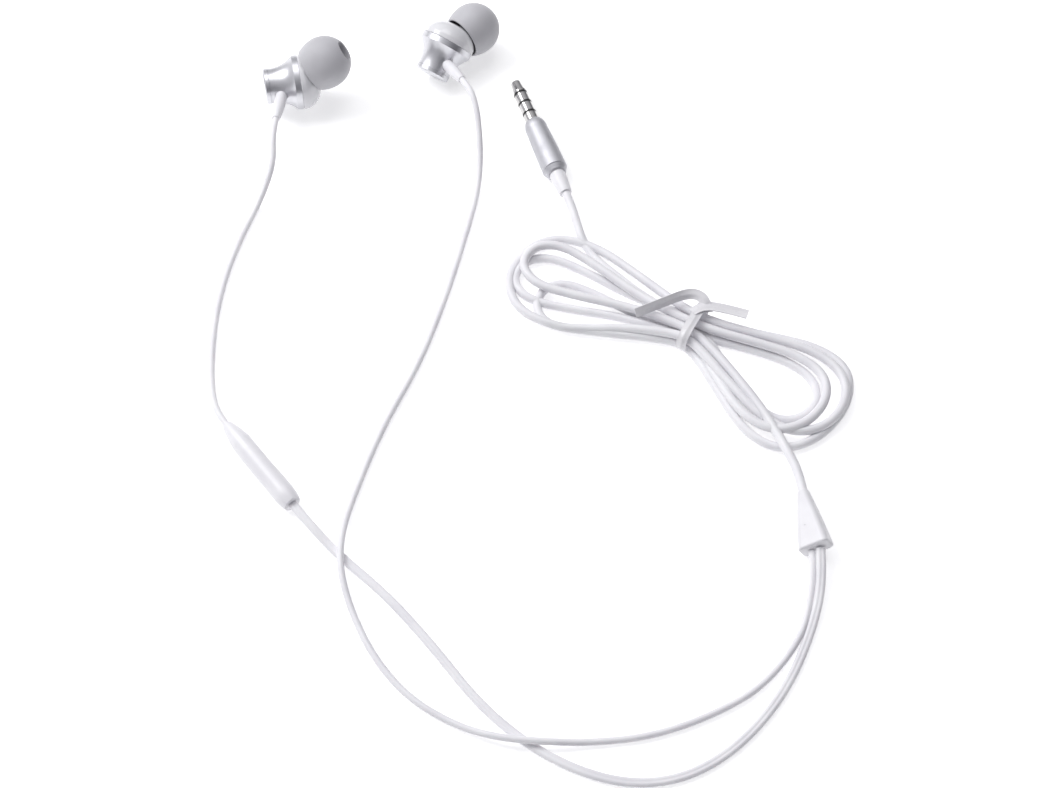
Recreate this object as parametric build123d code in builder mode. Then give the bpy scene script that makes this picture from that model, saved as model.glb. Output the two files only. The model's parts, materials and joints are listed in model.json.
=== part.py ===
from build123d import *

import os
from math import cos, radians, sin, tan

# Wired in-ear earphones lying on a flat surface, in millimetres. +Z is up, z = 0 is the surface, and
# the origin is on it, midway between the two earbuds.

# ---------------------------------------------------------------- driving sizes
# Each bud: rear face x, y, z, then azimuth, rise and roll of its housing in degrees, then the side of
# its own X-Z plane on which the nozzle leans.
BUDS = {
    "left": (-28.6, -6.05, 6.65, 10.5, 0.0, -8.0, -1),
    "right": (11.9, 0.8, 3.54, 57.5, 31.0, -31.5, 1),
}

# Aluminium rear shell, a concave spool: radii and stations along the housing from the rear face.
REAR_R = 4.3
FLANGE_R = 6.6
WAIST_R, WAIST_W = 4.62, 4.2
RIM_W, RIM_GROOVE = 1.1, 0.14
FLANGE_W, SEAM_W = 7.1, 8.8
SHELL_WALL = 0.65
SPIGOT_R = 5.85
FIT_GAP = 0.05

# Front chamber, its stations counted from the seam, and its leaning nozzle.
CHAMBER_R, CHAMBER_W = 6.65, 1.1
DOME_MID_R, DOME_MID_W = 5.4, 3.2
DOME_TOP_W = 4.8
SPIGOT_LONG = 0.9
NOZZLE_LEAN = 29.0
NOZZLE_OFFSET = 1.9
NOZZLE_BASE_W = 9.7
NOZZLE_R, NOZZLE_LIP_R, NOZZLE_END = 2.45, 2.6, 9.6
SOUND_BORE_R = 1.7

# Silicone ear tip, along the nozzle from its base.
TIP_R = 6.4
TIP_CENTRE = 6.4
TIP_SKIRT, TIP_SKIRT_R = 2.6, 5.55
TIP_WALL = 0.62
TIP_HOLE_R = 2.35
TIP_CORE_R = 3.35
TIP_STEP = 9.65

# Dynamic driver, 10.6 mm across, its stations counted from the seam.
DRIVER_R = 5.3
YOKE_R, YOKE_W = 3.6, -1.7
MAGNET_R = 2.45
COIL_IN_R, COIL_OUT_R = 2.72, 2.88
FILM = 0.15
COIL_TOP_W = 0.95
DOME_R, DOME_HALF_ANGLE = 5.5, 32.4

# Strain relief on a bud.
RELIEF_LEAN = 15.0
RELIEF_W = 4.86
RELIEF_ROOT_R, RELIEF_MID_R, RELIEF_END_R = 1.45, 1.35, 0.95
RELIEF_END = 13.0

# Cords.
THIN_D = 1.5
TWIN_W, TWIN_H = 2.0, 1.3
MAIN_D = 2.1
THIN_Z, TWIN_Z = 0.77, 0.67
HUMP_Z = 5.2

# In-line remote.
REMOTE_START, REMOTE_AXIS = (-30.5, -102.2), (15.7, -20.2)
REMOTE_R, REMOTE_LENGTH = 2.45, 25.6
REMOTE_WALL = 0.6
REMOTE_CAVITY_FROM, REMOTE_CAVITY_LONG = 5.2, 18.4
REMOTE_FRONT_X = 1.25
BUTTON_AT, BUTTON_LONG, BUTTON_WIDE = 12.2, 9.2, 2.3
MIC_AT = 20.8

# Splitter, from its narrow end.
SPLITTER_START, SPLITTER_AXIS = (95.0, -120.1), (1.9, -15.6)
SPLITTER_LENGTH = 14.0
SPLITTER_WIDE, SPLITTER_THICK = 7.2, 4.6
SPLITTER_ROLL, SPLITTER_Z = 32.0, 3.36

# 3.5 mm plug with four contacts, from its tip.
PLUG_TIP, PLUG_AXIS = (32.7, -1.3), (10.4, -30.4)
PIN_R = 1.75
PIN_LENGTH = 14.0
PIN_NOSE_R = 1.3
COLLAR_R, COLLAR_W = 1.95, 13.9
SHOULDER_R, SHOULDER_W, SHOULDER_END = 2.3, 15.25, 16.0
BARREL_R, BARREL_END = 3.05, 31.2
BARREL_BORE_R = 2.45
PLUG_RELIEF_R, PLUG_RELIEF_END = 1.9, 37.4
INSULATOR_STARTS = (4.2, 7.5, 10.85)
INSULATOR_WIDE = 0.7

# Hank and its tie.
HANK_LOW, HANK_HIGH, HANK_WAIST = 5.0, 6.8, 11.0
HANK_OUTLINE = [
    (75.6, -69.9),
    (90.6, -73.9),
    (99.0, -76.9),
    (105.2, -81.1),
    (108.2, -86.7),
    (108.8, -93.3),
    (107.0, -100.9),
    (103.0, -106.9),
    (95.6, -109.9),
    (88.8, -106.9),
    (83.0, -99.7),
    (77.2, -90.3),
    (70.8, -81.7),
    (60.6, -76.9),
    (41.6, -76.1),
    (35.0, -74.1),
    (31.0, -69.3),
    (30.0, -61.9),
    (32.2, -54.7),
    (37.6, -50.7),
    (46.0, -50.1),
    (53.6, -53.3),
    (62.6, -60.9),
    (69.2, -67.1),
]
TIE_CENTRE, TIE_TURN = (73.2, -75.9), -28.6
TIE_WIDE, TIE_THICK, TIE_HIGH = 2.4, 0.4, 7.2
TIE_TAILS = [(60.2, -73.8), (66.6, -71.6), (75.0, -71.6), (85.5, -75.0)]

# Straight run of each thin cord out of its strain relief.
EXIT_RUN = {"left": 5.5, "right": 4.5}

# Cord routes, point by point.
LEFT_ROUTE = [
    (-30.5, -102.2, REMOTE_R),
    (-33.0, -98.98, REMOTE_R),
    (-34.8, -92.6, 1.6),
    (-35.8, -83.4, THIN_Z),
    (-35.9, -71.3, THIN_Z),
    (-34.5, -59.3, THIN_Z),
    (-31.7, -47.9, THIN_Z),
    (-29.0, -39.9, THIN_Z),
    (-26.6, -34.5, 3.2),
    (-24.8, -29.5, 6.6),
]
RIGHT_ROUTE = [
    (95.84, -134.2, SPLITTER_Z - 0.56),
    (95.9, -138.5, 2.2),
    (92.3, -153.7, THIN_Z),
    (83.7, -165.0, THIN_Z),
    (72.5, -171.5, THIN_Z),
    (60.4, -175.9, THIN_Z),
    (48.2, -177.2, THIN_Z),
    (39.4, -177.6, HUMP_Z),
    (30.8, -176.9, HUMP_Z),
    (22.0, -173.9, THIN_Z),
    (11.5, -167.5, THIN_Z),
    (3.8, -157.9, THIN_Z),
    (-1.2, -147.3, THIN_Z),
    (-3.8, -138.5, HUMP_Z),
    (-4.0, -130.6, HUMP_Z),
    (-2.6, -121.7, THIN_Z),
    (3.3, -102.3, THIN_Z),
    (11.3, -84.5, THIN_Z),
    (17.0, -65.3, THIN_Z),
    (21.3, -46.8, THIN_Z),
    (23.8, -34.1, THIN_Z),
    (24.4, -26.7, 3.4),
    (24.1, -20.7, 6.8),
    (23.4, -15.3, 9.6),
]
TWIN_ROUTE = [
    (-14.78, -122.43, REMOTE_R),
    (-11.7, -126.39, REMOTE_R),
    (-4.8, -133.7, TWIN_Z),
    (6.2, -143.7, TWIN_Z),
    (16.2, -155.7, TWIN_Z),
    (25.6, -168.5, TWIN_Z),
    (35.8, -177.7, TWIN_Z),
    (46.6, -183.7, TWIN_Z),
    (57.6, -186.3, TWIN_Z),
    (68.8, -184.2, TWIN_Z),
    (79.6, -176.7, TWIN_Z),
    (88.9, -164.9, TWIN_Z),
    (95.2, -150.7, TWIN_Z),
    (97.7, -140.5, 2.4),
    (97.58, -134.15, SPLITTER_Z + 0.56),
]
SPLITTER_TO_HANK_ROUTE = [
    (95.0, -120.1, SPLITTER_Z),
    (94.4, -115.2, SPLITTER_Z),
    (92.7, -108.7, 3.0),
]
HANK_TO_PLUG_ROUTE = [
    (49.1, -52.7, 2.0),
    (48.1, -48.5, 2.2),
    (47.0, -44.0, 2.7),
    (45.78, -39.53, BARREL_R),
    (44.81, -36.69, BARREL_R),
]


# ---------------------------------------------------------------- helpers
def save(piece, node):
    """Label a finished piece and write it as one STEP file."""
    piece.part.label = node
    export_step(piece.part, f"parts/{node}.step")


def profile_plane(frame):
    """Plane in which a profile's x is the radius and its y is the distance along the frame's Z."""
    return Plane(origin=frame.origin, x_dir=frame.x_dir, z_dir=-frame.y_dir)


def outline(frame, points):
    """Closed straight-sided outline in a frame's profile plane."""
    with BuildSketch(profile_plane(frame)) as sketch:
        with BuildLine():
            Polyline(*points, close=True)
        make_face()
    return sketch.sketch


def spin(frame, points):
    """Add the solid of revolution of a straight-sided outline to the part being built."""
    revolve(outline(frame, points), axis=Axis(frame.origin, frame.z_dir))


def ring(inner, outer, start, end):
    """Outline of a plain ring or, with no inner radius, of a disc."""
    return [(inner, start), (outer, start), (outer, end), (inner, end)]


def bend_radii(route):
    """Radius at each corner of a route: 0.45 of its shorter run over the tangent of half its turn."""
    radii = []
    for before, corner, after in zip(route, route[1:], route[2:]):
        run_in = Vector(*corner) - Vector(*before)
        run_out = Vector(*after) - Vector(*corner)
        half_turn = radians(run_in.get_angle(run_out)) / 2
        radii.append(0.45 * min(run_in.length, run_out.length) / tan(half_turn))
    return radii


def ground_frame(start, axis, height, roll=0.0):
    """Frame of a piece lying on the surface: Z along it, Y up, X to its side, then rolled about Z."""
    along = Vector(axis[0], axis[1], 0).normalized()
    side = Vector(0, 0, 1).cross(along)
    turn = radians(roll)
    across = side * cos(turn) + along.cross(side) * sin(turn)
    return Plane(origin=(start[0], start[1], height), x_dir=across, z_dir=along)


def bud_frame(x, y, z, azimuth, rise, roll):
    """Frame at a housing's rear face: Z towards the ear, X towards the cord."""
    az, up, turn = radians(azimuth), radians(rise), radians(roll)
    ahead = Vector(cos(az) * cos(up), sin(az) * cos(up), sin(up))
    level = Vector(sin(az), -cos(az), 0)
    cord_side = level * cos(turn) + ahead.cross(level) * sin(turn)
    return Plane(origin=(x, y, z), x_dir=cord_side, z_dir=ahead)


def nozzle_frame(frame, hand):
    """Frame of the leaning nozzle: its base is offset to the side it leans to."""
    lean = radians(NOZZLE_LEAN)
    base = frame.origin + frame.y_dir * (hand * NOZZLE_OFFSET) + frame.z_dir * NOZZLE_BASE_W
    along = frame.z_dir * cos(lean) + frame.y_dir * (hand * sin(lean))
    return Plane(origin=base, x_dir=frame.x_dir, z_dir=along)


def relief_frame(frame):
    """Frame of a bud's strain relief, which leans back from the square of the housing."""
    lean = radians(RELIEF_LEAN)
    base = frame.origin + frame.z_dir * RELIEF_W
    return Plane(
        origin=base, x_dir=frame.y_dir, z_dir=frame.x_dir * cos(lean) - frame.z_dir * sin(lean)
    )


# ---------------------------------------------------------------- earbud: housing
def housing_form(frame):
    """Solid outer form of the rear shell, used for the shell and to trim what sits on it."""
    with BuildPart() as form:
        with BuildSketch(profile_plane(frame)):
            with BuildLine():
                Polyline(
                    (0, 0),
                    (REAR_R - 0.3, 0),
                    (REAR_R, 0.3),
                    (REAR_R, RIM_W),
                    (REAR_R - RIM_GROOVE, RIM_W + RIM_GROOVE / 2),
                    (REAR_R - 0.05, RIM_W + RIM_GROOVE),
                )
                ThreePointArc(
                    (REAR_R - 0.05, RIM_W + RIM_GROOVE), (WAIST_R, WAIST_W), (FLANGE_R - 0.25, FLANGE_W)
                )
                Polyline(
                    (FLANGE_R - 0.25, FLANGE_W),
                    (FLANGE_R, FLANGE_W + 0.25),
                    (FLANGE_R, SEAM_W - 0.12),
                    (FLANGE_R - 0.12, SEAM_W),
                    (0, SEAM_W),
                    (0, 0),
                )
            make_face()
        revolve(axis=Axis(frame.origin, frame.z_dir))
    return form.part


def make_rear_shell(side, frame):
    relief = relief_frame(frame)
    bore_r = SPIGOT_R + FIT_GAP
    with BuildPart() as rear_shell:
        add(housing_form(frame))
        with BuildSketch(profile_plane(frame)) as cavity:
            with BuildLine():
                Polyline((0, 1.3), (REAR_R - SHELL_WALL - 0.1, 1.3))
                ThreePointArc(
                    (REAR_R - SHELL_WALL - 0.1, 1.3),
                    (WAIST_R - SHELL_WALL, WAIST_W + 0.1),
                    (FLANGE_R - 1.15, FLANGE_W + 0.2),
                )
                Polyline(
                    (FLANGE_R - 1.15, FLANGE_W + 0.2),
                    (FLANGE_R - 1.15, SEAM_W - SPIGOT_LONG - FIT_GAP),
                    (bore_r, SEAM_W - SPIGOT_LONG - FIT_GAP),
                    (bore_r, SEAM_W),
                    (0, SEAM_W),
                    (0, 1.3),
                )
            make_face()
        revolve(axis=Axis(frame.origin, frame.z_dir), mode=Mode.SUBTRACT)
        with BuildSketch(relief.offset(3.0)):
            Circle(1.5)
        extrude(amount=4.0, mode=Mode.SUBTRACT)
    save(rear_shell, f"{side}_rear_shell")


def make_front_chamber(side, frame, nozzle):
    seam = frame.offset(SEAM_W)
    housing_axis = Axis(frame.origin, frame.z_dir)
    driver_bore = DRIVER_R + 0.1
    with BuildPart() as front_chamber:
        with BuildSketch(profile_plane(seam)):
            with BuildLine():
                Polyline(
                    (0, -SPIGOT_LONG),
                    (SPIGOT_R, -SPIGOT_LONG),
                    (SPIGOT_R, 0),
                    (CHAMBER_R - 0.15, 0),
                    (CHAMBER_R, 0.15),
                    (CHAMBER_R, CHAMBER_W),
                )
                ThreePointArc((CHAMBER_R, CHAMBER_W), (DOME_MID_R, DOME_MID_W), (2.0, DOME_TOP_W - 0.1))
                Polyline((2.0, DOME_TOP_W - 0.1), (0, DOME_TOP_W), (0, -SPIGOT_LONG))
            make_face()
        revolve(axis=housing_axis)
        spin(nozzle, ring(0, NOZZLE_R, 0.5, NOZZLE_END))
        spin(nozzle, [(0, 1.0), (3.5, 1.0), (3.5, 2.4), (2.75, 3.3), (NOZZLE_R, 4.2), (0, 4.2)])
        lip = [(NOZZLE_R, 8.2), (NOZZLE_LIP_R, 8.5), (NOZZLE_LIP_R, 9.1), (NOZZLE_R, 9.4)]
        spin(nozzle, [(0, 8.2), *lip, (0, 9.4)])
        with BuildSketch(profile_plane(seam)):
            with BuildLine():
                Polyline((0, -SPIGOT_LONG), (driver_bore, -SPIGOT_LONG), (driver_bore, 1.5))
                ThreePointArc((driver_bore, 1.5), (4.3, 2.5), (1.6, 3.3))
                Polyline((1.6, 3.3), (0, 3.4), (0, -SPIGOT_LONG))
            make_face()
        revolve(axis=housing_axis, mode=Mode.SUBTRACT)
        with BuildSketch(nozzle.offset(0.5)):
            Circle(SOUND_BORE_R)
        extrude(amount=NOZZLE_END, mode=Mode.SUBTRACT)
        with BuildSketch(nozzle.offset(NOZZLE_END - 0.5)):
            Circle(2.1)
        extrude(amount=1.0, mode=Mode.SUBTRACT)
    save(front_chamber, f"{side}_front_chamber")


def make_nozzle_mesh(side, nozzle):
    with BuildPart() as nozzle_mesh:
        spin(nozzle, ring(0, 2.05, NOZZLE_END - 0.48, NOZZLE_END - 0.2))
    save(nozzle_mesh, f"{side}_nozzle_mesh")


def make_ear_tip(side, nozzle):
    inner_r = TIP_R - TIP_WALL
    core_top = TIP_CENTRE + (inner_r**2 - TIP_CORE_R**2) ** 0.5
    dome_mid = TIP_R * sin(radians(45))
    inner_mid = inner_r * sin(radians(70))
    front_r = TIP_HOLE_R + 0.35
    front = TIP_CENTRE + (TIP_R**2 - front_r**2) ** 0.5
    bore_r = NOZZLE_LIP_R + FIT_GAP
    skirt_mid = (TIP_SKIRT + TIP_CENTRE) / 2
    flare = (TIP_R - TIP_SKIRT_R) / 4
    with BuildPart() as ear_tip:
        with BuildSketch(profile_plane(nozzle)):
            with BuildLine():
                ThreePointArc(
                    (TIP_SKIRT_R - TIP_WALL + 0.05, TIP_SKIRT),
                    (TIP_SKIRT_R - TIP_WALL / 2, TIP_SKIRT - 0.26),
                    (TIP_SKIRT_R, TIP_SKIRT),
                )
                ThreePointArc((TIP_SKIRT_R, TIP_SKIRT), (TIP_R - flare, skirt_mid), (TIP_R, TIP_CENTRE))
                ThreePointArc((TIP_R, TIP_CENTRE), (dome_mid, TIP_CENTRE + dome_mid), (front_r, front))
                Polyline(
                    (front_r, front),
                    (TIP_HOLE_R, front - 0.2),
                    (TIP_HOLE_R, TIP_STEP),
                    (bore_r, TIP_STEP),
                    (bore_r, 4.8),
                    (TIP_CORE_R, 4.8),
                    (TIP_CORE_R, core_top),
                )
                ThreePointArc(
                    (TIP_CORE_R, core_top),
                    (inner_mid, TIP_CENTRE + inner_r * cos(radians(70))),
                    (inner_r, TIP_CENTRE),
                )
                ThreePointArc(
                    (inner_r, TIP_CENTRE),
                    (inner_r - flare, skirt_mid),
                    (TIP_SKIRT_R - TIP_WALL + 0.05, TIP_SKIRT),
                )
            make_face()
        revolve(axis=Axis(nozzle.origin, nozzle.z_dir))
    save(ear_tip, f"{side}_ear_tip")


# ---------------------------------------------------------------- earbud: driver
def make_driver(side, frame):
    seam = frame.offset(SEAM_W)
    with BuildPart() as driver_frame:
        spin(
            seam,
            [
                (YOKE_R + FIT_GAP, -0.7),
                (DRIVER_R, -0.7),
                (DRIVER_R, 1.45),
                (4.9, 1.45),
                (4.9, -0.1),
                (YOKE_R + FIT_GAP, -0.1),
            ],
        )
    save(driver_frame, f"{side}_driver_frame")

    with BuildPart() as yoke:
        spin(
            seam,
            [(0, YOKE_W), (YOKE_R, YOKE_W), (YOKE_R, 0.7), (3.1, 0.7), (3.1, -1.1), (0, -1.1)],
        )
    save(yoke, f"{side}_yoke")

    with BuildPart() as magnet:
        spin(seam, ring(0, MAGNET_R, -1.1, 0.1))
    save(magnet, f"{side}_magnet")

    with BuildPart() as pole_plate:
        spin(seam, ring(0, MAGNET_R + 0.05, 0.1, 0.7))
    save(pole_plate, f"{side}_pole_plate")

    with BuildPart() as voice_coil:
        spin(seam, ring(COIL_IN_R, COIL_OUT_R, -0.1, COIL_TOP_W))
    save(voice_coil, f"{side}_voice_coil")

    dome_centre = COIL_TOP_W + 1.0 - DOME_R
    rim = 90 - DOME_HALF_ANGLE
    with BuildPart() as diaphragm:
        with BuildSketch(profile_plane(seam)):
            with BuildLine():
                outer = CenterArc((0, dome_centre), DOME_R, rim, DOME_HALF_ANGLE)
                inner = CenterArc((0, dome_centre), DOME_R - FILM, rim, DOME_HALF_ANGLE)
                Line(outer @ 0, inner @ 0)
                Line(outer @ 1, inner @ 1)
            make_face()
        revolve(axis=Axis(frame.origin, frame.z_dir))
    save(diaphragm, f"{side}_diaphragm")

    with BuildPart() as surround:
        with BuildSketch(profile_plane(seam)):
            with BuildLine():
                ThreePointArc((3.0, COIL_TOP_W + FILM), (3.93, COIL_TOP_W + 0.55), (4.86, COIL_TOP_W + FILM))
                Line((4.86, COIL_TOP_W + FILM), (4.86, COIL_TOP_W))
                ThreePointArc((4.86, COIL_TOP_W), (3.93, COIL_TOP_W + 0.55 - FILM), (3.0, COIL_TOP_W))
                Line((3.0, COIL_TOP_W), (3.0, COIL_TOP_W + FILM))
            make_face()
        revolve(axis=Axis(frame.origin, frame.z_dir))
    save(surround, f"{side}_surround")

    with BuildPart() as terminal_board:
        spin(seam, ring(0, 2.7, -2.5, -2.0))
        with BuildSketch(seam.offset(-2.0)):
            with Locations((-1.5, 0), (1.5, 0)):
                Circle(0.45)
        extrude(amount=0.25)
    save(terminal_board, f"{side}_terminal_board")


def make_bud_relief(side, frame):
    relief = relief_frame(frame)
    with BuildPart() as strain_relief:
        spin(
            relief,
            [
                (0, 3.6),
                (RELIEF_ROOT_R, 3.6),
                (RELIEF_ROOT_R, 7.6),
                (RELIEF_MID_R, 9.6),
                (RELIEF_END_R, RELIEF_END),
                (0, RELIEF_END),
            ],
        )
        add(housing_form(frame), mode=Mode.SUBTRACT)
        spin(relief, ring(0, 1.45, 3.2, 6.5))
        spin(relief, ring(0, 1.8, 2.9, 3.35))
    save(strain_relief, f"{side}_strain_relief")


# ---------------------------------------------------------------- in-line remote
def remote_form(frame):
    """Solid outer form of the remote, with the long shallow dip on its button side."""
    with BuildPart() as form:
        with BuildSketch(profile_plane(frame)):
            with BuildLine():
                Polyline((0, 0), (1.15, 0))
                ThreePointArc((1.15, 0), (1.85, 2.8), (REMOTE_R - 0.1, 6.0))
                Line((REMOTE_R - 0.1, 6.0), (REMOTE_R, 9.0))
                Line((REMOTE_R, 9.0), (REMOTE_R, REMOTE_LENGTH - 3.4))
                ThreePointArc(
                    (REMOTE_R, REMOTE_LENGTH - 3.4),
                    (REMOTE_R - 0.17, REMOTE_LENGTH - 1.4),
                    (REMOTE_R - 0.5, REMOTE_LENGTH),
                )
                Polyline((REMOTE_R - 0.5, REMOTE_LENGTH), (0, REMOTE_LENGTH), (0, 0))
            make_face()
        revolve(axis=Axis(frame.origin, frame.z_dir))
        with BuildSketch(profile_plane(frame)):
            with BuildLine():
                ThreePointArc((REMOTE_R, 4.0), (REMOTE_R - 0.6, BUTTON_AT), (REMOTE_R, 20.4))
                Line((REMOTE_R, 20.4), (REMOTE_R, 4.0))
            make_face()
        extrude(amount=REMOTE_R, both=True, mode=Mode.SUBTRACT)
    return form.part


def remote_casing(frame, sign):
    """One hollow half of the remote's casing, split lengthways; sign +1 is the button side."""
    with BuildPart() as casing:
        add(remote_form(frame))
        with BuildSketch(frame.offset(REMOTE_CAVITY_FROM)):
            Circle(REMOTE_R - REMOTE_WALL)
            with Locations((REMOTE_FRONT_X + 2, 0)):
                Rectangle(4, 5, mode=Mode.SUBTRACT)
        extrude(amount=REMOTE_CAVITY_LONG, mode=Mode.SUBTRACT)
        split(bisect_by=Plane(origin=frame.origin, z_dir=frame.x_dir * sign), keep=Keep.TOP)
    return casing.part


def button_plane(frame, height):
    """Plane facing the button, at a height over the remote's centre line; its X runs along the remote."""
    middle = frame.origin + frame.z_dir * BUTTON_AT + frame.x_dir * height
    return Plane(origin=middle, x_dir=frame.z_dir, z_dir=frame.x_dir)


def make_remote(frame):
    with BuildPart() as front_casing:
        add(remote_casing(frame, 1))
        with BuildSketch(button_plane(frame, 1.0)):
            SlotOverall(BUTTON_LONG + 0.16, BUTTON_WIDE + 0.16)
            with Locations((MIC_AT - BUTTON_AT, 0)):
                Circle(0.35)
        extrude(amount=3.0, mode=Mode.SUBTRACT)
    save(front_casing, "remote_front_casing")

    with BuildPart() as rear_casing:
        add(remote_casing(frame, -1))
    save(rear_casing, "remote_rear_casing")

    with BuildPart() as button:
        with BuildSketch(button_plane(frame, 0.85)):
            SlotOverall(BUTTON_LONG + 1.0, BUTTON_WIDE + 0.3)
        extrude(amount=0.35)
        with BuildSketch(button_plane(frame, 1.2)):
            SlotOverall(BUTTON_LONG, BUTTON_WIDE)
        extrude(amount=0.9)
        crown = button.faces().sort_by(Axis(frame.origin, frame.x_dir))[-1]
        fillet(crown.edges(), 0.25)
        with BuildSketch(button_plane(frame, 0.55)):
            Circle(0.5)
        extrude(amount=0.4)
    save(button, "remote_button")

    with BuildPart() as circuit_board:
        with BuildSketch(button_plane(frame, -0.7)):
            with Locations((14.4 - BUTTON_AT, 0)):
                RectangleRounded(17.0, 2.6, 0.3)
        extrude(amount=0.6)
    save(circuit_board, "remote_circuit_board")

    with BuildPart() as dome_switch:
        with BuildSketch(button_plane(frame, -0.1)):
            Circle(1.2)
        extrude(amount=0.3)
        chamfer(dome_switch.faces().sort_by(Axis(frame.origin, frame.x_dir))[-1].edges(), 0.15)
    save(dome_switch, "remote_dome_switch")

    with BuildPart() as microphone:
        with BuildSketch(button_plane(frame, -0.1)):
            with Locations((MIC_AT - BUTTON_AT, 0)):
                Rectangle(2.6, 2.0)
        extrude(amount=0.9)
        with BuildSketch(button_plane(frame, 0.6)):
            with Locations((MIC_AT - BUTTON_AT, 0)):
                Circle(0.25)
        extrude(amount=0.3, mode=Mode.SUBTRACT)
    save(microphone, "remote_microphone")


# ---------------------------------------------------------------- splitter
def wedge(frame, sections):
    """Loft through rounded rectangles, each given as its station, width, thickness and corner."""
    with BuildPart() as form:
        for station, width, thick, corner in sections:
            with BuildSketch(frame.offset(station)):
                RectangleRounded(width, thick, corner)
        loft()
    return form.part


def make_splitter(frame):
    core_sections = [(3.0, 2.1, 2.0, 0.7), (8.0, 3.9, 2.5, 0.7), (12.4, 5.0, 2.9, 0.7)]
    with BuildPart() as overmould:
        add(
            wedge(
                frame,
                [
                    (0, 2.6, 2.6, 1.2),
                    (8.0, 5.5, 3.9, 1.2),
                    (SPLITTER_LENGTH, SPLITTER_WIDE, SPLITTER_THICK, 1.2),
                ],
            )
        )
        end_face = overmould.faces().sort_by(Axis(frame.origin, frame.z_dir))[-1]
        fillet(end_face.edges(), 0.5)
        add(wedge(frame, core_sections), mode=Mode.SUBTRACT)
        gate = frame.origin + frame.z_dir * 8.8 - frame.x_dir * 0.6 + frame.y_dir * 2.3
        with Locations(gate):
            Sphere(0.4, mode=Mode.SUBTRACT)
    save(overmould, "splitter_overmould")

    with BuildPart() as core:
        add(wedge(frame, core_sections))
    save(core, "splitter_core")


# ---------------------------------------------------------------- plug
def contact(frame, start, end, bore, sleeve_r, rear):
    """A contact: a visible ring of the pin with a thin sleeve running back inside the next ones."""
    spin(
        frame,
        [(bore, start), (PIN_R, start), (PIN_R, end), (sleeve_r, end), (sleeve_r, rear), (bore, rear)],
    )


def make_plug(frame):
    first, second, third = INSULATOR_STARTS
    wide = INSULATOR_WIDE
    with BuildPart() as tip_contact:
        with BuildSketch(profile_plane(frame)):
            with BuildLine():
                Polyline((0, 0.3), (PIN_NOSE_R - 0.35, 0.3))
                ThreePointArc((PIN_NOSE_R - 0.35, 0.3), (PIN_NOSE_R - 0.1, 0.4), (PIN_NOSE_R, 0.65))
                ThreePointArc((PIN_NOSE_R, 0.65), (PIN_NOSE_R + 0.17, 2.2), (PIN_R, first - 0.5))
                Polyline((PIN_R, first - 0.5), (PIN_R, first), (0.45, first), (0.45, 18.0), (0, 18.0), (0, 0.3))
            make_face()
        revolve(axis=Axis(frame.origin, frame.z_dir))
    save(tip_contact, "plug_tip_contact")

    with BuildPart() as ring_1:
        contact(frame, first + wide, second, 0.65, 0.85, 17.2)
    save(ring_1, "plug_ring_1_contact")

    with BuildPart() as ring_2:
        contact(frame, second + wide, third, 1.0, 1.2, 16.4)
    save(ring_2, "plug_ring_2_contact")

    with BuildPart() as sleeve:
        spin(
            frame,
            [
                (1.35, third + wide),
                (PIN_R, third + wide),
                (PIN_R, COLLAR_W),
                (COLLAR_R, COLLAR_W),
                (COLLAR_R, SHOULDER_W),
                (SHOULDER_R, SHOULDER_W),
                (SHOULDER_R, SHOULDER_END),
                (1.35, SHOULDER_END),
            ],
        )
    save(sleeve, "plug_sleeve_contact")

    with BuildPart() as insulators:
        contact(frame, first, first + wide, 0.45, 0.65, 17.6)
        contact(frame, second, second + wide, 0.85, 1.0, 16.8)
        contact(frame, third, third + wide, 1.2, 1.35, SHOULDER_END)
    save(insulators, "plug_insulators")

    collar_bore, shoulder_bore = COLLAR_R + FIT_GAP, SHOULDER_R + FIT_GAP
    relief_bore = PLUG_RELIEF_R + FIT_GAP
    with BuildPart() as barrel:
        with BuildSketch(profile_plane(frame)):
            with BuildLine():
                Polyline((collar_bore, PIN_LENGTH), (2.15, PIN_LENGTH))
                ThreePointArc((2.15, PIN_LENGTH), (2.5, 14.8), (2.7, 16.6))
                ThreePointArc((2.7, 16.6), (2.92, 22.0), (BARREL_R, BARREL_END - 1.5))
                Polyline(
                    (BARREL_R, BARREL_END - 1.5),
                    (BARREL_R - 0.18, BARREL_END - 1.4),
                    (BARREL_R - 0.12, BARREL_END - 1.25),
                    (2.4, BARREL_END - 0.15),
                    (2.25, BARREL_END),
                    (relief_bore, BARREL_END),
                    (relief_bore, BARREL_END - 1.6),
                    (BARREL_BORE_R, BARREL_END - 1.6),
                    (BARREL_BORE_R, 18.1),
                    (shoulder_bore, 18.1),
                    (shoulder_bore, SHOULDER_W - FIT_GAP),
                    (collar_bore, SHOULDER_W - FIT_GAP),
                    (collar_bore, PIN_LENGTH),
                )
            make_face()
        revolve(axis=Axis(frame.origin, frame.z_dir))
    save(barrel, "plug_barrel")

    mould_r = BARREL_BORE_R - FIT_GAP
    with BuildPart() as inner_mould:
        spin(frame, ring(0, mould_r, 18.2, BARREL_END - 3.0))
    save(inner_mould, "plug_inner_mould")

    with BuildPart() as strain_relief:
        with BuildSketch(profile_plane(frame)):
            with BuildLine():
                Polyline(
                    (0, BARREL_END - 2.9),
                    (mould_r, BARREL_END - 2.9),
                    (mould_r, BARREL_END - 1.7),
                    (PLUG_RELIEF_R, BARREL_END - 1.7),
                    (PLUG_RELIEF_R, BARREL_END + 0.3),
                )
                ThreePointArc((PLUG_RELIEF_R, BARREL_END + 0.3), (1.8, 34.9), (1.5, PLUG_RELIEF_END))
                Polyline((1.5, PLUG_RELIEF_END), (0, PLUG_RELIEF_END), (0, BARREL_END - 2.9))
            make_face()
        revolve(axis=Axis(frame.origin, frame.z_dir))
    save(strain_relief, "plug_strain_relief")


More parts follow.
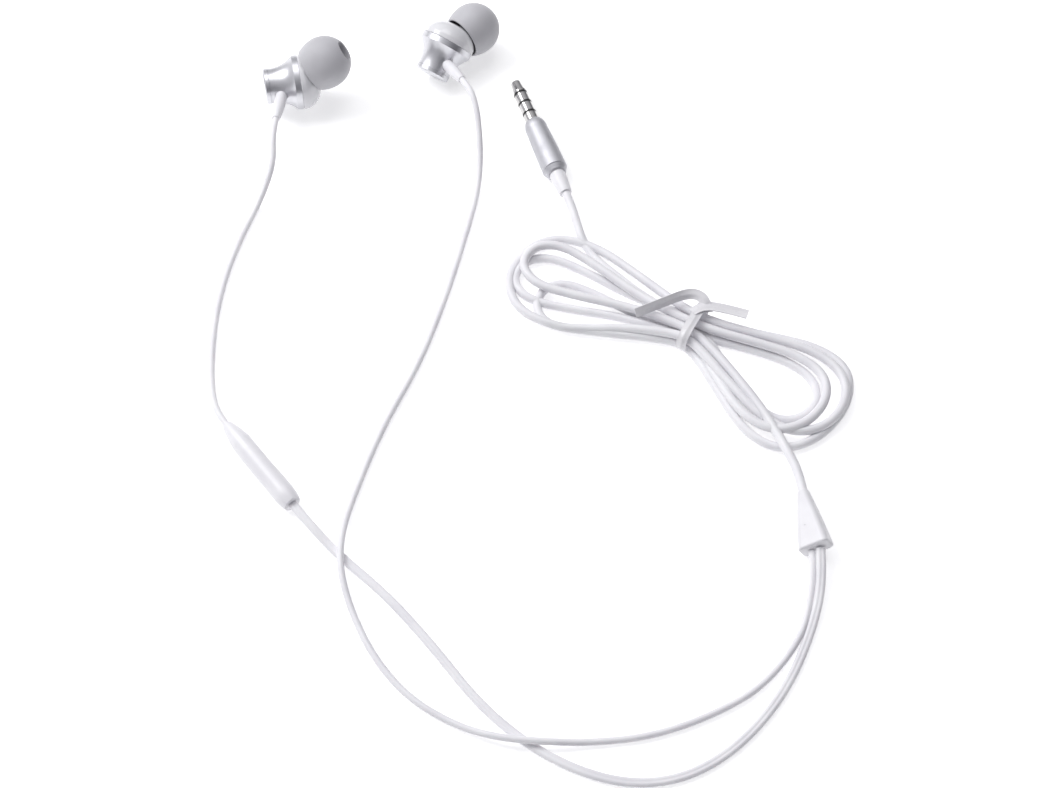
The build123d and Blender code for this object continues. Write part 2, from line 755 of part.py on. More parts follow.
# ---------------------------------------------------------------- cords
def tube(node, route, width, height):
    """Round or flat tube along a route of straight runs joined by tangent arcs."""
    radii = bend_radii(route)
    with BuildPart() as cord:
        with BuildLine() as path:
            FilletPolyline(*route, radius=radii)
        centre_line = path.wire()
        start, heading = centre_line @ 0, centre_line % 0
        level = Vector(0, 0, 1).cross(heading)
        with BuildSketch(Plane(origin=start, x_dir=level, z_dir=heading)):
            if width == height:
                Circle(width / 2)
            else:
                SlotOverall(width, height)
        section = cord.pending_faces[0].area
        sweep(path=centre_line)
    expected = section * centre_line.length
    shown = ", ".join(f"{radius:.0f}" for radius in radii)
    print(f"{node}: length {centre_line.length:.1f}, volume {cord.part.volume / expected:.4f} of expected")
    print(f"  radii {shown}")
    save(cord, node)


def make_hank():
    with BuildPart() as hank:
        with BuildSketch():
            with BuildLine():
                Spline(*HANK_OUTLINE, periodic=True)
            make_face()
        extrude(amount=HANK_LOW)
        tie_plane = Plane(origin=(*TIE_CENTRE, 0), x_dir=(cos(radians(TIE_TURN)), sin(radians(TIE_TURN)), 0))
        with BuildSketch(tie_plane):
            RectangleRounded(20.0, HANK_WAIST, 4.0)
        extrude(amount=HANK_HIGH)
    save(hank, "main_cord_hank")


def make_tie():
    across = radians(TIE_TURN)
    bundle = Vector(cos(across), sin(across), 0)
    upright = Plane(
        origin=Vector(*TIE_CENTRE, TIE_HIGH / 2) - bundle * TIE_WIDE / 2,
        x_dir=Vector(0, 0, 1).cross(bundle),
        z_dir=bundle,
    )
    with BuildPart() as twist_tie:
        with BuildSketch(upright):
            RectangleRounded(HANK_WAIST + 2 * TIE_THICK, TIE_HIGH, 2.4)
            RectangleRounded(HANK_WAIST, TIE_HIGH - 2 * TIE_THICK, 2.0, mode=Mode.SUBTRACT)
        extrude(amount=TIE_WIDE)
        with BuildSketch(Plane.XY.offset(TIE_HIGH - TIE_THICK)):
            with BuildLine():
                Polyline(*TIE_TAILS)
                offset(amount=TIE_WIDE / 2)
            make_face()
        extrude(amount=TIE_THICK)
    save(twist_tie, "twist_tie")


# ---------------------------------------------------------------- the whole set
os.makedirs("parts", exist_ok=True)

relief_ends = {}
for side, (x, y, z, azimuth, rise, roll, hand) in BUDS.items():
    housing = bud_frame(x, y, z, azimuth, rise, roll)
    nozzle = nozzle_frame(housing, hand)
    make_rear_shell(side, housing)
    make_front_chamber(side, housing, nozzle)
    make_nozzle_mesh(side, nozzle)
    make_ear_tip(side, nozzle)
    make_driver(side, housing)
    make_bud_relief(side, housing)
    relief = relief_frame(housing)
    exit_point = relief.origin + relief.z_dir * RELIEF_END
    relief_ends[side] = [tuple(exit_point + relief.z_dir * EXIT_RUN[side]), tuple(exit_point)]
    print(f"{side} cord leaves its relief through", relief_ends[side])

make_remote(ground_frame(REMOTE_START, REMOTE_AXIS, REMOTE_R))
make_splitter(ground_frame(SPLITTER_START, SPLITTER_AXIS, SPLITTER_Z, SPLITTER_ROLL))
make_plug(ground_frame(PLUG_TIP, PLUG_AXIS, BARREL_R))

tube("left_cord", LEFT_ROUTE + relief_ends["left"], THIN_D, THIN_D)
tube("right_cord", RIGHT_ROUTE + relief_ends["right"], THIN_D, THIN_D)
tube("twin_cord", TWIN_ROUTE, TWIN_W, TWIN_H)
tube("main_cord_to_hank", SPLITTER_TO_HANK_ROUTE, MAIN_D, MAIN_D)
tube("main_cord_to_plug", HANK_TO_PLUG_ROUTE, MAIN_D, MAIN_D)
make_hank()
make_tie()
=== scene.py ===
import bpy
import json
from math import acos, copysign, cos, pi, radians, sin
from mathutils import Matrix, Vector


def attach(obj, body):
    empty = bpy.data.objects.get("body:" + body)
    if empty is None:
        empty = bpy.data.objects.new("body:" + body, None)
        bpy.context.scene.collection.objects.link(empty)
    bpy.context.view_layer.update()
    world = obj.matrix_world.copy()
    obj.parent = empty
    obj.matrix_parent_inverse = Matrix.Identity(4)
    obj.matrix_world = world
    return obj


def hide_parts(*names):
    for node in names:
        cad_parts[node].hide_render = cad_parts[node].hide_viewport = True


# Wired in-ear earphones on a pale floor: the cords, the hank and its tie are built here around the
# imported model, and its nodes get their materials. Routes and sizes are in millimetres.

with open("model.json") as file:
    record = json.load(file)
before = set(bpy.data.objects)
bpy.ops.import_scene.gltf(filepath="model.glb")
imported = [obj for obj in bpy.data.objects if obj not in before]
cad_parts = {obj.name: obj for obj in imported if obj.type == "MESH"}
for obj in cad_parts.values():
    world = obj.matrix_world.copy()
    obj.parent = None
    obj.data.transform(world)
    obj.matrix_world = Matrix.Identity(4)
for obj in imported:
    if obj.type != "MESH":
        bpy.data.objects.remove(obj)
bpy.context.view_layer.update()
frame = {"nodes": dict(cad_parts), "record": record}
nodes = frame["nodes"]

MM = 0.001
UP = Vector((0.0, 0.0, 1.0))
# The thin cords and the main cord are round, and the twin cord is wider than high.
THIN_D, MAIN_D = 1.5, 2.1
TWIN_W, TWIN_H = 2.0, 1.3
# Heights of a cord's middle line: on the floor, on top of another turn, and over a crossed cord.
THIN_Z, TWIN_Z, MAIN_Z = 0.77, 0.67, 1.06
SECOND_Z, CROSSING_Z = 3.2, 2.25

# Middle of the rear face, azimuth and rise of each housing.
HOUSINGS = {
    "left": ((-28.6, -6.05, 6.65), 10.5, 0.0),
    "right": ((11.9, 0.8, 3.54), 57.5, 31.0),
}
# The plug's tip and direction seen from above, and the height of its axis.
PLUG_TIP, PLUG_AXIS, PLUG_Z = (32.7, -1.3), (10.4, -30.4), 3.05

# ---------------------------------------------------------------- cord routes
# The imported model's routes, with the starts at the buds and the ways into and out of the hank added.
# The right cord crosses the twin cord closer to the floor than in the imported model, and a few points
# near the splitter and the hank are moved by less than 2 mm.
LEFT_ROUTE = [
    (-24.86, -18.00, 8.40),
    (-25.30, -23.44, 9.14),
    (-24.8, -29.5, 6.6),
    (-26.6, -34.5, 3.2),
    (-29.0, -39.9, THIN_Z),
    (-31.7, -47.9, THIN_Z),
    (-34.5, -59.3, THIN_Z),
    (-35.9, -71.3, THIN_Z),
    (-35.8, -83.4, THIN_Z),
    (-34.8, -92.6, 1.6),
    (-33.0, -98.98, 2.45),
    (-30.5, -102.2, 2.45),
]
RIGHT_ROUTE = [
    (19.80, -6.72, 9.93),
    (21.76, -10.54, 11.28),
    (23.4, -15.3, 9.6),
    (24.1, -20.7, 6.8),
    (24.4, -26.7, 3.4),
    (23.8, -34.1, THIN_Z),
    (21.3, -46.8, THIN_Z),
    (17.0, -65.3, THIN_Z),
    (11.3, -84.5, THIN_Z),
    (3.3, -102.3, THIN_Z),
    (-2.6, -121.7, THIN_Z),
    (-4.0, -130.6, CROSSING_Z),
    (-3.8, -138.5, CROSSING_Z),
    (-1.2, -147.3, THIN_Z),
    (3.8, -157.9, THIN_Z),
    (11.5, -167.5, THIN_Z),
    (22.0, -173.9, THIN_Z),
    (30.8, -176.9, CROSSING_Z),
    (39.4, -177.6, CROSSING_Z),
    (48.2, -177.2, THIN_Z),
    (60.4, -175.9, THIN_Z),
    (72.5, -171.5, THIN_Z),
    (83.7, -165.0, THIN_Z),
    (92.5, -153.7, THIN_Z),
    (95.1, -144.0, 1.0),
    (95.9, -138.5, 2.1),
    (95.84, -134.2, 2.8),
]
TWIN_ROUTE = [
    (-14.78, -122.43, 2.45),
    (-11.7, -126.39, 2.45),
    (-4.8, -133.7, TWIN_Z),
    (6.2, -143.7, TWIN_Z),
    (16.2, -155.7, TWIN_Z),
    (25.6, -168.5, TWIN_Z),
    (35.8, -177.7, TWIN_Z),
    (46.6, -183.7, TWIN_Z),
    (57.6, -186.3, TWIN_Z),
    (68.8, -184.2, TWIN_Z),
    (79.6, -176.7, TWIN_Z),
    (88.9, -164.9, TWIN_Z),
    (95.2, -150.7, TWIN_Z),
    (97.7, -140.5, 2.3),
    (97.58, -134.15, 3.92),
]
SPLITTER_TO_HANK_ROUTE = [
    (95.0, -120.1, 3.36),
    (94.4, -115.2, 3.36),
    (92.7, -110.2, 3.25),
    (90.0, -103.6, SECOND_Z),
    (86.3, -96.2, SECOND_Z),
    (81.6, -88.6, SECOND_Z),
    (77.4, -82.2, SECOND_Z),
]
HANK_TO_PLUG_ROUTE = [
    (63.2, -66.8, 1.2),
    (56.0, -59.6, MAIN_Z),
    (51.6, -55.2, MAIN_Z),
    (49.1, -51.0, 1.6),
    (48.1, -48.5, 2.2),
    (47.0, -44.0, 2.7),
    (45.78, -39.53, 3.05),
    (44.81, -36.69, 3.05),
]

# ---------------------------------------------------------------- hank
# Each turn is one loop on the left of the tie and one on its right. A loop is its tilt in degrees,
# its reach from the tie, its half width, its height at the far end, and 1 or 2 for how far out its
# belly sits.
TIE_CENTRE, TIE_TURN = Vector((73.2, -75.9)), radians(-28.6)
LEFT_LOOPS = [
    (0.0, 43.5, 6.5, SECOND_Z, 2),
    (-5.0, 44.2, 6.7, MAIN_Z, 2),
    (-3.0, 45.4, 12.4, 1.3, 1),
    (-14.0, 36.8, 6.5, MAIN_Z, 2),
]
RIGHT_LOOPS = [
    (-14.0, 35.9, 10.6, SECOND_Z, 1),
    (-10.5, 39.7, 14.7, MAIN_Z, 1),
    (-8.0, 39.4, 11.0, 2.2, 1),
    (-12.0, 33.7, 7.9, MAIN_Z, 1),
]
# Where the strands lie in the tie, in the order that the cord runs through it: sideways place, height.
PASSES = [
    (-1.1, SECOND_Z),
    (1.1, SECOND_Z),
    (-2.2, MAIN_Z),
    (4.0, MAIN_Z),
    (-3.8, MAIN_Z),
    (3.3, SECOND_Z),
    (-3.3, SECOND_Z),
    (0.0, MAIN_Z),
    (2.2, MAIN_Z),
]
LOOP_POINTS = 10
# The part of a full turn where a loop starts, and the part that it covers. The tie takes the rest.
LOOP_START, LOOP_SHARE = 0.13, 0.74
# The most that the width formula in loop_points reaches, for each belly.
BELLY_PEAK = {1: 0.6495, 2: 0.5176}


def loop_points(side, loop, start, end):
    """Points of one teardrop loop, side -1 left or 1 right, between two passes through the tie."""
    tilt, reach, half_width, far_z, belly = loop
    points = []
    for step in range(LOOP_POINTS):
        share = step / (LOOP_POINTS - 1)
        angle = 2 * pi * (LOOP_START + LOOP_SHARE * share)
        near = (1 + cos(angle)) / 2
        out = side * reach * (1 - near)
        across = side * half_width * sin(angle) * (1 - near) ** belly / BELLY_PEAK[belly]
        turn = side * radians(tilt)
        place_y = start[0] + (end[0] - start[0]) * share
        place_z = start[1] + (end[1] - start[1]) * share
        x = out * cos(turn) - across * sin(turn)
        y = out * sin(turn) + across * cos(turn) + near * place_y
        points.append((x, y, far_z + (place_z - far_z) * near))
    return points


def hank_route():
    """The cord's way through the tie and round its loops, on the floor."""
    points = []
    for turn, (left, right) in enumerate(zip(LEFT_LOOPS, RIGHT_LOOPS)):
        first, second, third = PASSES[2 * turn : 2 * turn + 3]
        points.append((0, *first))
        points += loop_points(-1, left, first, second)
        points.append((0, *second))
        points += loop_points(1, right, second, third)
    points.append((0, *PASSES[-1]))
    ahead = Vector((cos(TIE_TURN), sin(TIE_TURN)))
    beside = Vector((-sin(TIE_TURN), cos(TIE_TURN)))
    return [(*(TIE_CENTRE + ahead * x + beside * y), z) for x, y, z in points]


# ---------------------------------------------------------------- mesh and curve helpers
STEPS_ALONG, STEPS_ROUND = 14, 6
CURVE_ORDER = 3
SHARP_FROM = radians(50)


def link(name, data):
    piece = bpy.data.objects.new(name, data)
    bpy.context.scene.collection.objects.link(piece)
    return piece


def cord_curve(name, route, diameter=0.0):
    """A smooth round cord along a route in millimetres."""
    curve = bpy.data.curves.new(name, "CURVE")
    curve.dimensions = "3D"
    curve.resolution_u = STEPS_ALONG
    curve.bevel_depth = diameter / 2 * MM
    curve.bevel_resolution = STEPS_ROUND
    curve.use_fill_caps = True
    spline = curve.splines.new("NURBS")
    spline.points.add(len(route) - 1)
    for point, place in zip(spline.points, route):
        point.co = (*(Vector(place) * MM), 1.0)
    spline.order_u = CURVE_ORDER
    spline.use_endpoint_u = True
    spline.use_smooth = True
    return link(name, curve)


def centre_line(route):
    """Points along the smooth line of a route, in metres."""
    guide = cord_curve("guide", route)
    mesh = bpy.data.meshes.new_from_object(guide)
    points = [vertex.co.copy() for vertex in mesh.vertices]
    bpy.data.objects.remove(guide)
    bpy.data.meshes.remove(mesh)
    return points


def bar(path, section, across_start=None, across_end=None):
    """Vertices and faces of a closed bar swept along a path. Its width turns from one direction to
    the other, or stays level when none is given."""
    vertices, faces = [], []
    count = len(section)
    for index, place in enumerate(path):
        before, after = path[max(index - 1, 0)], path[min(index + 1, len(path) - 1)]
        heading = (after - before).normalized()
        if across_start is None:
            across = heading.cross(UP).normalized()
        else:
            across = across_start.lerp(across_end, index / (len(path) - 1))
            across = (across - heading * across.dot(heading)).normalized()
        above = across.cross(heading)
        vertices += [place + (across * u + above * v) * MM for u, v in section]
    for ring in range(len(path) - 1):
        for corner in range(count):
            following = (corner + 1) % count
            low, high = ring * count, (ring + 1) * count
            faces.append((low + corner, low + following, high + following, high + corner))
    faces.append(tuple(reversed(range(count))))
    faces.append(tuple(range(len(vertices) - count, len(vertices))))
    return vertices, faces


def smooth_mesh(name, parts):
    """One mesh object from several bars."""
    vertices, faces = [], []
    for part_vertices, part_faces in parts:
        start = len(vertices)
        vertices += part_vertices
        faces += [tuple(start + corner for corner in face) for face in part_faces]
    mesh = bpy.data.meshes.new(name)
    mesh.from_pydata(vertices, [], faces)
    mesh.validate()
    mesh.shade_smooth()
    mesh.set_sharp_from_angle(angle=SHARP_FROM)
    return link(name, mesh)


# ---------------------------------------------------------------- material helpers
# How fine each noise is: its features in a metre.
TONE_SCALE, POLISH_SCALE, SMEAR_SCALE = 160.0, 900.0, 350.0
# The nozzle mesh: the pitch and depth of its weave in metres, the directions across its two sets of
# wires, the painted shade in the holes and the tone of the wire.
WIRE_PITCH, WIRE_DEPTH = 0.00032, 0.00004
WIRE_DIRECTIONS = (0.8, 0.6, 0.0), (-0.36, 0.48, 0.8)
# The hole colour is near black: it is painted shade, not the mesh's own colour.
MESH_HOLE_SHADE, MESH_WIRE = (0.004, 0.004, 0.004), (0.12, 0.12, 0.12)


def start_material(name, **sockets):
    material = bpy.data.materials.new(name)
    material.use_nodes = True
    shader = material.node_tree.nodes["Principled BSDF"]
    for socket, value in sockets.items():
        shader.inputs[socket.replace("_", " ")].default_value = value
    return material, material.node_tree, shader


def noise(tree, place, scale, detail=2.0):
    node = tree.nodes.new("ShaderNodeTexNoise")
    node.inputs["Scale"].default_value = scale
    node.inputs["Detail"].default_value = detail
    tree.links.new(place, node.inputs["Vector"])
    return node.outputs["Fac"]


def object_place(tree):
    return tree.nodes.new("ShaderNodeTexCoord").outputs["Object"]


def maths(tree, operation, first, second):
    node = tree.nodes.new("ShaderNodeMath")
    node.operation = operation
    for socket, value in zip(node.inputs, (first, second)):
        if isinstance(value, (int, float)):
            socket.default_value = value
        else:
            tree.links.new(value, socket)
    return node.outputs["Value"]


def vector_maths(tree, operation, first, second, output):
    node = tree.nodes.new("ShaderNodeVectorMath")
    node.operation = operation
    for socket, value in zip(node.inputs, (first, second)):
        if isinstance(value, (tuple, Vector)):
            socket.default_value = value
        else:
            tree.links.new(value, socket)
    return node.outputs[output]


def spread(tree, value, low, high, start=0.3, end=0.7):
    """A value from start to end stretched to run from low to high."""
    node = tree.nodes.new("ShaderNodeMapRange")
    for socket, number in zip(("From Min", "From Max", "To Min", "To Max"), (start, end, low, high)):
        node.inputs[socket].default_value = number
    tree.links.new(value, node.inputs["Value"])
    return node.outputs["Result"]


def blend_colours(tree, value, first, second):
    node = tree.nodes.new("ShaderNodeMix")
    node.data_type = "RGBA"
    node.inputs["A"].default_value = (*first, 1.0)
    node.inputs["B"].default_value = (*second, 1.0)
    tree.links.new(value, node.inputs["Factor"])
    return node.outputs["Result"]


def add_bump(tree, shader, height, distance, strength=1.0):
    node = tree.nodes.new("ShaderNodeBump")
    node.inputs["Strength"].default_value = strength
    node.inputs["Distance"].default_value = distance
    tree.links.new(height, node.inputs["Height"])
    tree.links.new(node.outputs["Normal"], shader.inputs["Normal"])


def moulded(name, light, dark, roughness, grain=6000.0, depth=0.00001, **sockets):
    """Moulded plastic or rubber: a slow change of tone, an uneven polish and a fine grain, which is
    given as features in a metre and a depth in metres."""
    material, tree, shader = start_material(name, **sockets)
    place = object_place(tree)
    tone = blend_colours(tree, spread(tree, noise(tree, place, TONE_SCALE), 0.0, 1.0), dark, light)
    patches = noise(tree, place, POLISH_SCALE, detail=4.0)
    polish = spread(tree, patches, roughness * 0.85, roughness * 1.15)
    tree.links.new(tone, shader.inputs["Base Color"])
    tree.links.new(polish, shader.inputs["Roughness"])
    add_bump(tree, shader, noise(tree, place, grain, detail=3.0), depth)
    return material


def turned(name, light, dark, roughness, centre, axis, pitch=0.00012, depth=0.000002, **sockets):
    """Metal turned on a lathe: fine rings about its axis, in tone, polish and height. Their pitch and
    depth are in metres, and the centre is in millimetres."""
    material, tree, shader = start_material(name, Metallic=1.0, **sockets)
    place = object_place(tree)
    from_centre = vector_maths(tree, "SUBTRACT", place, tuple(c * MM for c in centre), "Vector")
    along = vector_maths(tree, "DOT_PRODUCT", from_centre, axis, "Value")
    outward = vector_maths(tree, "CROSS_PRODUCT", from_centre, axis, "Vector")
    radius = vector_maths(tree, "LENGTH", outward, (0.0, 0.0, 0.0), "Value")
    rings = tree.nodes.new("ShaderNodeTexNoise")
    rings.noise_dimensions = "1D"
    rings.inputs["Scale"].default_value = 1.0 / pitch
    rings.inputs["Detail"].default_value = 2.0
    tree.links.new(maths(tree, "ADD", along, radius), rings.inputs["W"])
    grooves = rings.outputs["Fac"]
    tone = blend_colours(tree, spread(tree, grooves, 0.0, 1.0), dark, light)
    smear = maths(tree, "ADD", grooves, noise(tree, place, SMEAR_SCALE))
    polish = spread(tree, smear, roughness * 0.8, roughness * 1.25, start=0.6, end=1.4)
    tree.links.new(tone, shader.inputs["Base Color"])
    tree.links.new(polish, shader.inputs["Roughness"])
    add_bump(tree, shader, grooves, depth)
    return material


def woven_mesh(name):
    """Fine woven steel mesh: wires round square holes, with painted shade in the holes."""
    material, tree, shader = start_material(name, Metallic=0.9, Roughness=0.4)
    place = object_place(tree)
    height = None
    for direction in WIRE_DIRECTIONS:
        across = vector_maths(tree, "DOT_PRODUCT", place, direction, "Value")
        wave = maths(tree, "SINE", maths(tree, "MULTIPLY", across, 2 * pi / WIRE_PITCH), 0.0)
        height = wave if height is None else maths(tree, "MAXIMUM", height, wave)
    wires = spread(tree, height, 0.0, 1.0, start=0.0, end=0.7)
    # Between the wires the colour turns near black, which is painted shade in the holes.
    tree.links.new(blend_colours(tree, wires, MESH_HOLE_SHADE, MESH_WIRE), shader.inputs["Base Color"])
    add_bump(tree, shader, wires, WIRE_DEPTH)
    return material


# ---------------------------------------------------------------- materials
def housing_axis(side):
    _, azimuth, rise = HOUSINGS[side]
    flat = cos(radians(rise))
    return Vector((cos(radians(azimuth)) * flat, sin(radians(azimuth)) * flat, sin(radians(rise))))


plug_axis = Vector((*PLUG_AXIS, 0.0)).normalized()
plug_centre = (*PLUG_TIP, PLUG_Z)
WHITE, COOL_WHITE = (0.87, 0.865, 0.885), (0.80, 0.79, 0.825)
SKIN_DEPTH = {"Subsurface_Radius": (0.001, 0.0009, 0.0009), "Subsurface_Scale": 1.0}
jacket = moulded(
    "cord_jacket", WHITE, COOL_WHITE, 0.42,
    grain=2500.0, depth=0.00002, Subsurface_Weight=0.15, **SKIN_DEPTH,
)
# The materials by slot. The tie's is made with the tie, and the aluminium needs one for each housing.
MATERIALS = {
    "gloss_white": moulded(
        "gloss_white_plastic", (0.80, 0.80, 0.82), (0.74, 0.735, 0.765), 0.16,
        grain=1500.0, depth=0.000008, Coat_Weight=0.5, Coat_Roughness=0.06,
    ),
    "steel_mesh": woven_mesh("woven_steel_mesh"),
    "grey_silicone": moulded(
        "grey_silicone_rubber", (0.54, 0.535, 0.565), (0.49, 0.485, 0.51), 0.6,
        grain=5000.0, Sheen_Weight=0.25, Sheen_Roughness=0.4,
    ),
    "black_plastic": moulded("black_plastic", (0.02, 0.02, 0.022), (0.012, 0.012, 0.013), 0.4),
    "soft_iron": moulded("soft_iron", (0.34, 0.33, 0.32), (0.28, 0.27, 0.27), 0.4, Metallic=1.0),
    "nickel_magnet": moulded(
        "nickel_plated_magnet", (0.62, 0.6, 0.57), (0.55, 0.53, 0.5), 0.22, Metallic=1.0
    ),
    "copper": moulded(
        "copper_winding", (0.72, 0.34, 0.2), (0.6, 0.26, 0.14), 0.3,
        grain=9000.0, depth=0.00003, Metallic=1.0,
    ),
    "clear_film": moulded("diaphragm_film", (0.72, 0.7, 0.62), (0.66, 0.64, 0.56), 0.18),
    "green_board": moulded("green_circuit_board", (0.03, 0.2, 0.08), (0.02, 0.15, 0.06), 0.35),
    "white_rubber": moulded(
        "white_rubber", WHITE, COOL_WHITE, 0.4, grain=2500.0, Subsurface_Weight=0.1, **SKIN_DEPTH
    ),
    "steel_dome": moulded("steel_dome", (0.6, 0.6, 0.62), (0.52, 0.52, 0.54), 0.25, Metallic=1.0),
    "nickel_can": moulded("nickel_can", (0.66, 0.64, 0.6), (0.58, 0.56, 0.53), 0.3, Metallic=1.0),
    "remote_white": moulded(
        "remote_plastic", WHITE, COOL_WHITE, 0.34, grain=4500.0, Coat_Weight=0.15, Coat_Roughness=0.2
    ),
    "splitter_white": moulded(
        "splitter_plastic", (0.82, 0.815, 0.84), (0.75, 0.74, 0.77), 0.38,
        grain=4500.0, Coat_Weight=0.1, Coat_Roughness=0.25,
    ),
    "black_insulator": moulded("black_insulator", (0.012, 0.012, 0.013), (0.008, 0.008, 0.009), 0.3),
    "satin_barrel": turned(
        "satin_barrel", (0.62, 0.62, 0.65), (0.55, 0.55, 0.58), 0.58, plug_centre, plug_axis
    ),
    "polished_contact": turned(
        "polished_contact", (0.68, 0.67, 0.66), (0.58, 0.57, 0.57), 0.10, plug_centre, plug_axis,
        pitch=0.00008, depth=0.0000008,
    ),
    "white_cord": jacket,
}
for side, (centre, _, _) in HOUSINGS.items():
    MATERIALS[f"satin_aluminium_{side}"] = turned(
        f"satin_aluminium_{side}", (0.72, 0.72, 0.75), (0.63, 0.63, 0.66), 0.36, centre, housing_axis(side)
    )

for subpart in frame["record"]["subparts"]:
    node, slot = subpart["node"], subpart["material_slot"]
    if slot == "satin_aluminium":
        slot = f"{slot}_{node.split('_')[0]}"
    for material_slot in nodes[node].material_slots:
        if slot in MATERIALS:
            material_slot.material = MATERIALS[slot]


# ---------------------------------------------------------------- cords
def lay_cord(piece, points, diameter, far_end, with_pieces, *replaced, path=None):
    """Give a finished cord its jacket and body, and hide the tubes it stands for."""
    piece.data.materials.append(jacket)
    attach(piece, "root")
    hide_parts(*replaced)


remote_nodes = [nodes[name] for name in sorted(nodes) if name.startswith("remote_")]
plug_nodes = [nodes[name] for name in sorted(nodes) if name.startswith("plug_")]

left_cord = cord_curve("left_bud_cord", LEFT_ROUTE, THIN_D)
lay_cord(left_cord, centre_line(LEFT_ROUTE), THIN_D, "fitting", remote_nodes, "left_cord")

right_cord = cord_curve("right_bud_cord", RIGHT_ROUTE, THIN_D)
lay_cord(right_cord, centre_line(RIGHT_ROUTE), THIN_D, "fitting", [nodes["splitter_core"]], "right_cord")

# The twin cord is two round cores side by side with a groove between them.
LOBE_R = TWIN_H / 2
LOBE_X = TWIN_W / 2 - LOBE_R
LOBE_SPAN = pi - acos(LOBE_X / LOBE_R)
LOBE_STEPS = 6
lobe_angles = [LOBE_SPAN * (step / LOBE_STEPS - 1) for step in range(2 * LOBE_STEPS + 1)]
twin_section = [(LOBE_X + LOBE_R * cos(a), LOBE_R * sin(a)) for a in lobe_angles]
twin_section += [(-u, -v) for u, v in twin_section[1:-1]]
twin_path = centre_line(TWIN_ROUTE)
twin_cord = smooth_mesh("twin_bud_cord", [bar(twin_path, twin_section)])
lay_cord(
    twin_cord, twin_path, TWIN_W, "fitting", [nodes["splitter_overmould"]], "twin_cord", path=twin_path
)

main_route = SPLITTER_TO_HANK_ROUTE + hank_route() + HANK_TO_PLUG_ROUTE
main_cord = cord_curve("main_cord", main_route, MAIN_D)

# ---------------------------------------------------------------- twist tie
# A flat plastic ribbon with a wire down its middle. Its outline from the edge to the wire is given as
# the distance across and half the thickness there.
RIBBON_QUARTER = [(1.2, 0.12), (0.45, 0.14), (0.2, 0.26)]
ribbon_top = RIBBON_QUARTER + [(-u, v) for u, v in reversed(RIBBON_QUARTER)]
tie_section = [(-u, -v) for u, v in ribbon_top] + ribbon_top
along_bundle = Vector((cos(TIE_TURN), sin(TIE_TURN), 0.0))
across_bundle = Vector((-sin(TIE_TURN), cos(TIE_TURN), 0.0))

# The band round the bundle is an oval with squared corners. Its ends meet at BAND_START.
BAND_HALF_WIDE, BAND_HIGH, BAND_LIFT = 5.9, 5.6, 0.3
BAND_STEPS, BAND_START, BAND_CORNER = 40, radians(60), 0.6
BAND_CENTRE = Vector((*TIE_CENTRE, BAND_HIGH / 2 + BAND_LIFT))


def square_up(value):
    """A sine or cosine bent so that the oval it draws has squarer corners."""
    return copysign(abs(value) ** BAND_CORNER, value)


band_path = []
for step in range(BAND_STEPS + 1):
    angle = 2 * pi * step / BAND_STEPS + BAND_START
    sideways = across_bundle * (BAND_HALF_WIDE * square_up(cos(angle)))
    upwards = UP * (BAND_HIGH / 2 * square_up(sin(angle)))
    band_path.append((BAND_CENTRE + sideways + upwards) * MM)

LEFT_TAIL = [
    (76.6, -73.6, 5.4),
    (76.4, -71.8, 6.6),
    (74.6, -69.6, 7.0),
    (71.4, -69.3, 6.6),
    (66.6, -71.2, 6.0),
    (60.2, -73.8, 5.4),
]
RIGHT_TAIL = [
    (73.0, -74.0, 5.9),
    (75.0, -72.4, 6.4),
    (79.4, -72.9, 6.5),
    (85.5, -75.0, 6.5),
]
# The way the ribbon's width points at the start and at the end of each tail.
LEFT_TAIL_WIDTH = Vector((0.6, 0.5, 0.3)), Vector((0.2, 0.6, 0.9))
RIGHT_TAIL_WIDTH = Vector((0.3, 1.0, 0.0)), Vector((0.3, 1.0, 0.0))
tie_parts = [
    bar(band_path, tie_section, along_bundle, along_bundle),
    bar(centre_line(LEFT_TAIL), tie_section, *LEFT_TAIL_WIDTH),
    bar(centre_line(RIGHT_TAIL), tie_section, *RIGHT_TAIL_WIDTH),
]
tie = smooth_mesh("twist_tie_ribbon", tie_parts)
tie_plastic = moulded(
    "tie_plastic", (0.80, 0.79, 0.81), (0.70, 0.69, 0.72), 0.3,
    grain=1800.0, depth=0.00003, Coat_Weight=0.2, Coat_Roughness=0.15,
)
tie.data.materials.append(tie_plastic)
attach(tie, "root")
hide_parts("twist_tie")
lay_cord(
    main_cord, centre_line(main_route), MAIN_D, "plug", plug_nodes + [tie],
    "main_cord_to_hank", "main_cord_hank", "main_cord_to_plug",
)

# ---------------------------------------------------------------- floor, light and camera
# The floor glows a little, so that it stays as white as the photo's.
FLOOR_REACH, FLOOR_GLOW = 3, 0.42
floor_corners = [(x * FLOOR_REACH, y * FLOOR_REACH, 0) for x, y in ((-1, -1), (1, -1), (1, 1), (-1, 1))]
floor_mesh = bpy.data.meshes.new("floor")
floor_mesh.from_pydata(floor_corners, [], [(0, 1, 2, 3)])
floor = link("floor", floor_mesh)
floor_material, _, _ = start_material(
    "floor_white", Base_Color=(0.90, 0.90, 0.90, 1.0), Roughness=0.7,
    Emission_Color=(1.0, 1.0, 1.0, 1.0), Emission_Strength=FLOOR_GLOW,
)
floor.data.materials.append(floor_material)

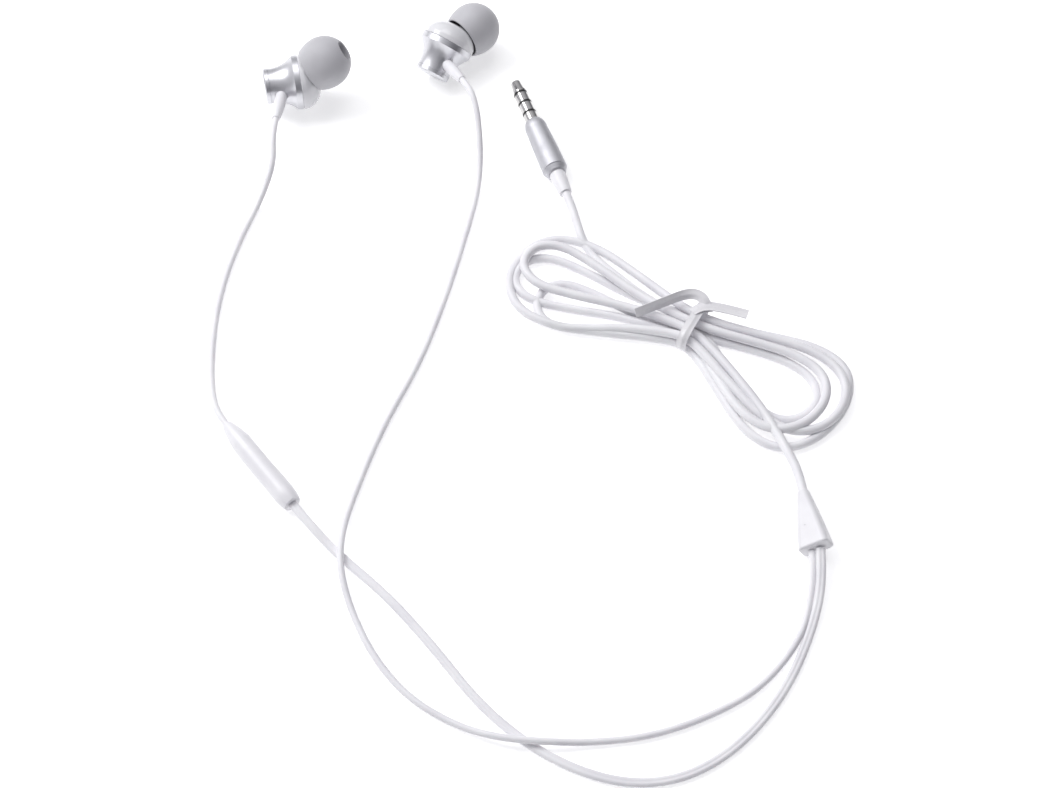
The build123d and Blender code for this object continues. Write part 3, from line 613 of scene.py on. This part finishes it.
# The room is bright high on the left and dark low on the right, which is what the metal shows.
SKY_BRIGHTEST = (-0.55, 0.25, 0.80)
SKY_DARK, SKY_LIGHT, SKY_STRENGTH = (0.10, 0.10, 0.12), (0.96, 0.96, 1.0), 0.62
SKY_DARK_AT, SKY_LIGHT_AT = -0.15, 0.8
world = bpy.data.worlds.new("studio")
world.use_nodes = True
world_tree = world.node_tree
direction = world_tree.nodes.new("ShaderNodeTexCoord").outputs["Generated"]
towards_light = vector_maths(world_tree, "DOT_PRODUCT", direction, SKY_BRIGHTEST, "Value")
brightness = spread(world_tree, towards_light, 0.0, 1.0, start=SKY_DARK_AT, end=SKY_LIGHT_AT)
background = world_tree.nodes["Background"]
world_tree.links.new(blend_colours(world_tree, brightness, SKY_DARK, SKY_LIGHT), background.inputs["Color"])
background.inputs["Strength"].default_value = SKY_STRENGTH
bpy.context.scene.world = world


def soft_light(name, place, aim, size, power):
    light = bpy.data.lights.new(name, "AREA")
    light.shape = "DISK"
    light.size = size
    light.energy = power
    lamp = link(name, light)
    lamp.location = place
    lamp.rotation_euler = (Vector(aim) - Vector(place)).to_track_quat("-Z", "Y").to_euler()


# The room is in metres. The camera and both lamps look at the same point.
TARGET = Vector((0.0356, -0.0923, 0.0))
soft_light("key", (-0.46, 0.20, 0.62), TARGET, size=0.50, power=3.6)
soft_light("top", (0.05, 0.30, 0.95), TARGET, size=0.7, power=2.2)

CAMERA_DISTANCE, CAMERA_RISE = 0.4592, radians(56.0)
CAMERA_LENS, CAMERA_SENSOR, CAMERA_NEAR = 70.02, 36.0, 0.01
camera_data = bpy.data.cameras.new("camera")
camera_data.lens = CAMERA_LENS
camera_data.sensor_width = CAMERA_SENSOR
camera_data.clip_start = CAMERA_NEAR
camera = link("camera", camera_data)
camera.location = TARGET + Vector((0.0, -cos(CAMERA_RISE), sin(CAMERA_RISE))) * CAMERA_DISTANCE
camera.rotation_euler = (pi / 2 - CAMERA_RISE, 0.0, 0.0)
bpy.context.scene.camera = camera
bpy.context.scene.view_settings.view_transform = "Standard"
